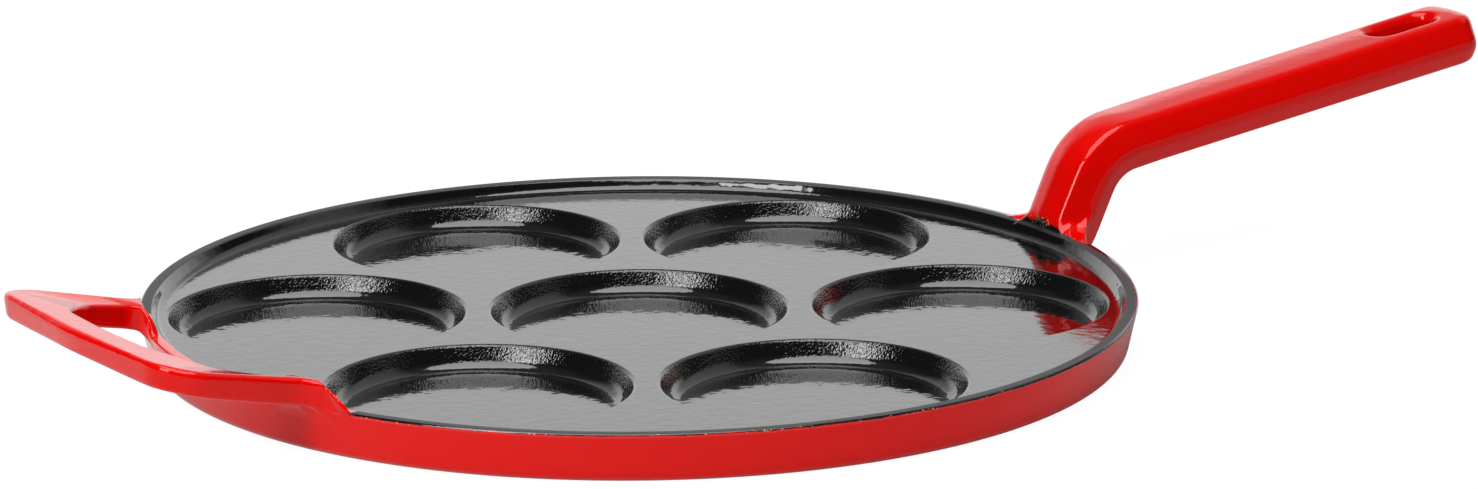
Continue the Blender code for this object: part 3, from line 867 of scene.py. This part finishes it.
def glazed_enamel(name, pan, colours):
    """Vitreous enamel on cast iron: coloured glass, dipped and fired.

    A clear, hard shine over a soft wave like orange peel. The black glaze
    ends in a slightly ragged line with a few pale specks, and it is dull and
    gritty on the rim's flat top, where it is thin.
    """
    material, add, shader, coordinates = new_material(name)
    noise = {title: add(NOISE, {
        "Vector": coordinates, "Scale": 1.0 / grain, "Detail": detail,
    }) for title, (grain, detail) in ENAMEL_GRAIN.items()}
    x, y, z = add("ShaderNodeSeparateXYZ", (coordinates,)).outputs
    flat = add(VECTOR_MATH, (coordinates, (1.0, 1.0, 0.0)), operation="MULTIPLY")
    radius = add(VECTOR_MATH, (flat,), operation="LENGTH")

    # Where black meets red: an edge that wanders, with pale specks in it
    wander = add(MATH, (noise["ragged"], 2.0 * WANDER, -WANDER), operation="MULTIPLY_ADD")
    depth = add(MATH, (blackness(add, pan, coordinates, radius, x, y, z), wander), operation="ADD")
    black = add(RAMP, (depth, -GLAZE_BLEND, GLAZE_BLEND), **SMOOTH)
    off = add(MATH, (depth,), operation="ABSOLUTE")
    band = add(RAMP, (off, *SPECK_BAND), **SMOOTH)
    specks = add(RAMP, (noise["speck"], *SPECK_LIMITS), **SMOOTH)
    seam = add(MATH, (band, specks), operation="MULTIPLY")

    # Masks of the rim's flat top and of the wells' walls. A limit is a measure, a
    # level, and from it where the mask is none and full.
    top = [(z, pan.rim_height, -0.0004, -0.0001), (z, pan.rim_height, 0.0012, 0.0002),
           (radius, pan.rim_inside, -0.0008, 0.0), (radius, pan.rim_radius, -0.0004, -0.0009)]
    sides = [(z, pan.face_height, -0.0048, -0.0030), (z, pan.face_height, 0.0001, -0.0004)]
    masks = []
    for limits in (top, sides):
        mask = black
        for value, level, none, full in limits:
            part = add(RAMP, (value, level + none, level + full), **SMOOTH)
            mask = add(MATH, (mask, part), operation="MULTIPLY")
        masks.append(mask)
    rim, walls = masks

    # Grey cast iron shows faintly through the thin black on the rim
    dull = add(MIX, {0: rim, 6: (*colours.black, 1.0), 7: (*colours.thin, 1.0)}, data_type="RGBA")
    dipped = add(MIX, {0: black, 6: (*colours.red, 1.0), 7: dull}, data_type="RGBA")
    colour = add(MIX, {0: seam, 6: dipped, 7: (*colours.speck, 1.0)}, data_type="RGBA")

    # Orange peel a few millimetres across, pits on the wells' walls, grit on the rim
    wave = add("ShaderNodeBump", {"Height": noise["peel"], "Distance": PEEL_DEPTH, "Strength": 1.0})
    pits = add("ShaderNodeBump", {
        "Height": noise["pit"], "Distance": PIT_DEPTH, "Normal": wave,
        "Strength": add(MATH, (walls, rim), operation="ADD")})
    rough = add(RAMP, (rim, 0.0, 1.0, GLOSSY, DULL), **SMOOTH)
    set_inputs(shader, {
        "Base Color": colour, "IOR": 1.52, "Coat Roughness": 0.03, "Coat IOR": 1.5,
        "Roughness": add(MATH, (walls, PITTED, rough), operation="MULTIPLY_ADD"),
        "Normal": pits, "Coat Normal": pits})
    if name == RED_GLAZE:
        # Red glass: what it mirrors straight on takes its colour
        set_inputs(shader, {"Specular Tint": (*colours.glass, 1.0), "Coat Weight": 0.3})
    else:
        shine = add(RAMP, (rim, 0.0, 1.0, 0.6, 0.0), **SMOOTH)
        set_inputs(shader, {"Coat Weight": shine})
    return material


def sand_cast_iron(colours):
    """Bare grey iron as it leaves the sand: dark, dull metal with a sandy grain."""
    material, add, shader, coordinates = new_material("Sand-cast grey iron")
    sand = add(NOISE, {"Vector": coordinates, "Scale": 1.0 / SAND_GRAIN, "Detail": 3.0})
    darker = tuple(channel * SAND_SHADE for channel in colours.iron)
    set_inputs(shader, {
        "Metallic": 0.9,
        "Base Color": add(MIX, {
            0: sand, 6: (*darker, 1.0), 7: (*colours.iron, 1.0)}, data_type="RGBA"),
        "Roughness": add(RAMP, (sand, 0.3, 0.7, 0.6, 0.85), **SMOOTH),
        "Normal": add("ShaderNodeBump", {"Height": sand, "Distance": SAND_DEPTH})})
    return material


def enamel_for(context, name):
    """The named enamel, made the first time that it is asked for."""
    scene = context.scene
    return bpy.data.materials.get(name) or glazed_enamel(name, scene.pan_sizes,
                                                         scene.enamel_colours)


class PAN_OT_cooking_surface(bpy.types.Operator):
    """Builds the black enamel over the face, the wells and the rim"""

    bl_idname = "pancake_pan.cooking_surface"
    bl_label = "Cooking surface"

    def execute(self, context):
        pan = context.scene.pan_sizes
        enamel = enamel_for(context, BLACK_GLAZE)

        # The rim, from the face outwards and down to the seam. The first corner,
        # and the wells' last one, only show which way the face runs.
        corners = rounded([
            Corner(pan.well_circle, pan.face_height),
            Corner(pan.rim_foot, pan.face_height, *RIM_FOOT_ROUNDING),
            Corner(pan.rim_inside, pan.rim_height, *RIM_INSIDE_ROUNDING),
            Corner(pan.rim_radius, pan.rim_height, *RIM_OUTSIDE_ROUNDING),
            Corner(pan.base_radius, 0.0),
        ])
        seam = Vector((wall_radius(pan, pan.seam_height), pan.seam_height))
        profile = [corners[1] - Vector((FACE_MARGIN, 0.0)), *corners[1:-1], seam]
        profile = subdivided(profile, parts_for(profile, RIM_RUN))
        rim = made_plain(turned("rim", profile, DISC_SEGMENTS, enamel))
        for vertex in rim.data.vertices:
            vertex.co = bulged(vertex.co, pan)

        # The wells, each with a level margin that joins it to the face
        floor = pan.face_height - pan.well_depth
        corners = rounded([
            Corner(0.0, floor),
            Corner(pan.well_radius - WELL_FLOOR_INSET, floor, *WELL_FLOOR_ROUNDING),
            Corner(pan.well_radius, pan.face_height, pan.well_lip, WELL_LIP_STEPS),
            Corner(pan.well_circle, pan.face_height),
        ])
        corners[-1] = corners[-2] + Vector((FACE_MARGIN, 0.0))
        corners.insert(1, corners[1] - Vector((FLOOR_RING, 0.0)))
        item = turned("wells", corners, WELL_SEGMENTS, enamel)
        add_tree(item, wells_tree(), {
            "Around": pan.wells_around, "Circle": pan.well_circle, "Enamel": enamel})
        made_plain(item)

        # The level face between them
        shape = bmesh.new()
        shape.from_mesh(rim.data)
        shape.from_mesh(item.data)
        open_edges = [edge for edge in shape.edges if edge.is_boundary
                      and abs(edge.verts[0].co.z - pan.face_height) < SAME_POINT]
        bmesh.ops.triangle_fill(shape, edges=open_edges, use_beauty=True)
        shape.to_mesh(item.data)
        shape.free()
        bpy.data.objects.remove(rim)
        item.name = "cooking_surface"
        item.data.name = item.name
        finished(item, (0.0, 0.0, 1.0), enamel)
        thickened(item, pan.coat)
        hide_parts("cooking_surface_enamel")
        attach(item, "root")
        return {"FINISHED"}


class PAN_OT_outer_wall(bpy.types.Operator):
    """Builds the red enamel on the wall and the underside"""

    bl_idname = "pancake_pan.outer_wall"
    bl_label = "Wall and underside"

    def execute(self, context):
        pan = context.scene.pan_sizes
        profile = rounded([
            Corner(wall_radius(pan, pan.seam_height), pan.seam_height),
            Corner(pan.base_radius, 0.0, *WALL_FOOT_ROUNDING),
            Corner(0.0, 0.0),
        ])
        profile.insert(-1, profile[-2] - Vector((BASE_RING, 0.0)))
        profile = subdivided(profile, parts_for(profile[:-1], WALL_RUN) + [1])
        enamel = enamel_for(context, RED_GLAZE)
        item = made_plain(turned("outer_wall", profile, DISC_SEGMENTS, enamel))
        for vertex in item.data.vertices:
            vertex.co = bulged(vertex.co, pan)
        finished(item, (0.0, 0.0, -1.0), enamel)
        thickened(item, pan.coat)
        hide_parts("wall_enamel", "base_enamel")
        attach(item, "root")
        return {"FINISHED"}


class PAN_OT_long_handle(bpy.types.Operator):
    """Builds the red enamel of the long handle, with its hanging slot"""

    bl_idname = "pancake_pan.long_handle"
    bl_label = "Long handle"

    def execute(self, context):
        pan = context.scene.pan_sizes
        sizes = context.scene.handle_sizes
        enamel = enamel_for(context, RED_GLAZE)
        lines, path, parts = long_handle_lines(pan, sizes)
        ahead = next(index for index, place in enumerate(path)
                     if place.x > pan.rim_radius + LONG_AHEAD)
        inwards, height = LONG_HEART
        heart = Vector((pan.rim_foot - inwards, 0.0, height))
        lines = rooted(lines, pan, 1, LONG_LANDING, parts, LONG_LEADS, LONG_DIVES,
                       pan.rim_foot, ahead, heart)
        item = loft("long_handle", lines.transpose(1, 0, 2), enamel)
        cutter = loft("slot_cutter", slot_cutter(path, sizes), enamel)
        slot = item.modifiers.new("Slot", "BOOLEAN")
        slot.object = cutter
        slot.solver = "EXACT"
        made_plain(item)
        softened(item, LONG_VOXEL)
        bpy.data.objects.remove(cutter)
        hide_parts("long_handle_enamel", "long_handle_casting")
        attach(item, "root")
        return {"FINISHED"}


class PAN_OT_helper_handle(bpy.types.Operator):
    """Builds the red enamel of the helper handle"""

    bl_idname = "pancake_pan.helper_handle"
    bl_label = "Helper handle"

    def execute(self, context):
        pan = context.scene.pan_sizes
        sizes = context.scene.handle_sizes
        lines, parts = helper_lines(pan, sizes)
        inwards, aside, height = HELPER_HEART
        for side in (-1, 1):
            ahead = next(index for index, place in enumerate(lines[0])
                         if place[0] < -pan.rim_radius - HELPER_AHEAD)
            corners = [(side * y, run, radius) for y, run, radius in HELPER_LANDING]
            heart = Vector((inwards - pan.rim_radius, side * aside, height))
            lines = rooted(lines, pan, -1, corners, parts, HELPER_LEADS, HELPER_DIVES,
                           pan.rim_radius - HELPER_CLEAR, ahead, heart)
            lines = lines[:, ::-1]
        item = loft("helper_handle", lines.transpose(1, 0, 2), enamel_for(context, RED_GLAZE))
        softened(item, HELPER_VOXEL)
        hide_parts("helper_handle_enamel", "helper_handle_casting")
        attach(item, "root")
        return {"FINISHED"}


class PAN_OT_disc_casting(bpy.types.Operator):
    """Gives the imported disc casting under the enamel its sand-cast finish"""

    bl_idname = "pancake_pan.disc_casting"
    bl_label = "Disc casting"

    def execute(self, context):
        iron = sand_cast_iron(context.scene.enamel_colours)
        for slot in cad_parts["disc_casting"].material_slots:
            slot.material = iron
        return {"FINISHED"}


def seen_straight(add):
    """What tells the kinds of rays apart, and 1 for those that see the background."""
    rays = add("ShaderNodeLightPath").outputs
    straight = add(MATH, (rays["Is Camera Ray"], rays["Is Transmission Ray"]), operation="MAXIMUM")
    return rays, straight


def studio_world():
    """A white sweep behind the pan, and what the glaze mirrors of the room.

    The sweep dims with height. The rest of the room is dark but for its ceiling
    and a pale wall high up beyond the long handle.
    """
    world = bpy.data.worlds.new("Studio")
    bpy.context.scene.world = world
    world.use_nodes = True
    tree = world.node_tree
    add = partial(add_node, tree)
    direction = add("ShaderNodeTexCoord").outputs["Generated"]
    upward = add("ShaderNodeSeparateXYZ", (direction,)).outputs["Z"]
    ahead = (-math.sin(CAMERA_HEADING), math.cos(CAMERA_HEADING), 0.0)
    beyond, aside = (add(VECTOR_MATH, (direction, way), operation="DOT_PRODUCT")
                     for way in (ahead, PALE_WALL_WAY))

    # A ramp: what it goes by, where it starts and ends, and its levels there
    steep = {degrees: math.sin(math.radians(degrees)) for degrees in (17, 22, 26, 32)}
    sweep, behind, high, pale, ceiling = (add(RAMP, limits, **SMOOTH) for limits in (
        (upward, steep[17], steep[26], 1.0, 0.45), (beyond, 0.50, 0.80),
        (upward, steep[22], steep[32]), (aside, 0.35, 0.60, 0.0, 0.5),
        (upward, 0.6, 1.0, 0.03, 0.15)))
    wall = add(MATH, (high, pale), operation="MULTIPLY")
    room = add(MATH, (ceiling, wall), operation="MAXIMUM")
    level = add(MIX, {0: behind, 2: room, 3: sweep})
    _, straight = seen_straight(add)
    shown = add(MIX, {0: straight, 2: level, 3: 1.0})
    set_inputs(tree.nodes["Background"], {"Color": shown, "Strength": 1.0})


def area_light(name, place, size, power, shape="RECTANGLE", mirrored=True):
    """A soft light that faces the pan, and that the glaze mirrors if it may."""
    lamp = bpy.data.lights.new(name, "AREA")
    lamp.shape = shape
    lamp.size, lamp.size_y = size
    lamp.energy = power
    item = new_object(name, lamp)
    item.visible_glossy = mirrored
    item.location = place
    item.rotation_euler = (Vector(LIT_POINT) - Vector(place)).to_track_quat("-Z", "Y").to_euler()


def background_paper(colours):
    """Matt white paper, without any shine.

    Straight on it shows white with the pan's faint shadow. In the glaze it shows
    a painted darker grey, with a painted glow on the left, towards the soft box,
    and behind the pan.
    """
    material, add, shader, coordinates = new_material("Matt white background paper")
    rays, straight = seen_straight(add)
    x, y, _ = add("ShaderNodeSeparateXYZ", (coordinates,)).outputs

    # Painted glow for the glaze: the paper gives off more light on the left, towards the soft box,
    # and behind the pan
    # A ramp: what it goes by, where it starts and ends, and its levels there
    left, back = (add(RAMP, limits, **SMOOTH) for limits in (
        (x, -0.25, 0.15, 0.45, 0.05), (y, 0.02, 0.06, 0.0, 0.60)))
    bright = add(MATH, (left, back), operation="MAXIMUM")
    # Only rays from the glaze see this painted glow
    mirrored = add(MATH, (rays["Is Glossy Ray"], bright), operation="MULTIPLY")
    # Painted shade: rays from the glaze see the darker grey copy of the paper
    paper = add(MIX, {
        0: rays["Is Glossy Ray"], 6: (*colours.paper, 1.0), 7: (*colours.paper_shade_in_glaze, 1.0),
    }, data_type="RGBA")
    set_inputs(shader, {"Base Color": paper, "Roughness": 0.9, "Specular IOR Level": 0.0})
    mixed = add("ShaderNodeMixShader", (
        add(MATH, (straight, PAPER_WHITENESS, mirrored), operation="MULTIPLY_ADD"),
        shader, add("ShaderNodeEmission", {"Strength": PAPER_GLOW})))
    set_inputs(material.node_tree.nodes["Material Output"], {"Surface": mixed})
    return material


class PAN_OT_studio(bpy.types.Operator):
    """Sets the floor, the soft lights, the white sweep and the camera"""

    bl_idname = "pancake_pan.studio"
    bl_label = "Studio"

    def execute(self, context):
        scene = context.scene
        light = scene.studio_light
        mesh = bpy.data.meshes.new("floor")
        mesh.from_pydata([(x * FLOOR_EDGE, y * FLOOR_EDGE, -FLOOR_DROP)
                          for x, y in ((-1, -1), (1, -1), (1, 1), (-1, 1))], [], [(0, 1, 2, 3)])
        floor = new_object("floor", mesh)
        mesh.materials.append(background_paper(light))

        studio_world()
        area_light("key", (-1.14, -0.41, 0.84), (0.5, 0.75), light.key)
        area_light("top", (-0.18, -0.20, 1.27), (1.15, 1.35), light.top, "ELLIPSE")
        area_light("fill", (0.8, -1.1, 0.6), (0.9, 0.9), light.fill, mirrored=False)

        camera = bpy.data.cameras.new("camera")
        camera.sensor_width = 36.0
        camera.sensor_fit = "HORIZONTAL"
        camera.lens = CAMERA_LENS
        camera.clip_start = 0.05
        viewer = new_object("camera", camera)
        viewer.matrix_world = (Matrix.Translation(CAMERA_PLACE)
                               @ Matrix.Rotation(CAMERA_HEADING, 4, "Z")
                               @ Matrix.Rotation(CAMERA_TILT, 4, "X")
                               @ Matrix.Rotation(CAMERA_ROLL, 4, "Z"))
        scene.camera = viewer
        scene.view_settings.view_transform = "Standard"
        return {"FINISHED"}


GROUPS = (("pan_sizes", PanSizes), ("handle_sizes", HandleSizes),
          ("enamel_colours", EnamelColours), ("studio_light", StudioLight))
STEPS = (PAN_OT_cooking_surface, PAN_OT_outer_wall, PAN_OT_long_handle,
         PAN_OT_helper_handle, PAN_OT_disc_casting, PAN_OT_studio)


class PAN_PT_sidebar(bpy.types.Panel):
    """Sizes, colours and lights, and a button for each piece"""

    bl_label = "Pancake pan"
    bl_idname = "PAN_PT_sidebar"
    bl_space_type = "VIEW_3D"
    bl_region_type = "UI"
    bl_category = "Pancake pan"

    def draw(self, context):
        for name, group in GROUPS:
            box = self.layout.box()
            box.label(text=name.replace("_", " ").capitalize())
            for field in group.__annotations__:
                box.prop(getattr(context.scene, name), field)
        for step in STEPS:
            self.layout.operator(step.bl_idname)


CLASSES = tuple(group for _, group in GROUPS) + STEPS + (PAN_PT_sidebar,)


def register():
    """Registers the classes and puts the sizes on the scene."""
    for item in CLASSES:
        bpy.utils.register_class(item)
    for name, group in GROUPS:
        setattr(bpy.types.Scene, name, PointerProperty(type=group))


def unregister():
    """Takes the sizes and the classes away again."""
    for name, _ in GROUPS:
        delattr(bpy.types.Scene, name)
    for item in reversed(CLASSES):
        bpy.utils.unregister_class(item)


def main():
    """Builds every piece and the studio."""
    register()
    bpy.ops.pancake_pan.cooking_surface()
    bpy.ops.pancake_pan.outer_wall()
    bpy.ops.pancake_pan.long_handle()
    bpy.ops.pancake_pan.helper_handle()
    bpy.ops.pancake_pan.disc_casting()
    bpy.ops.pancake_pan.studio()


if __name__ == "__main__":
    main()
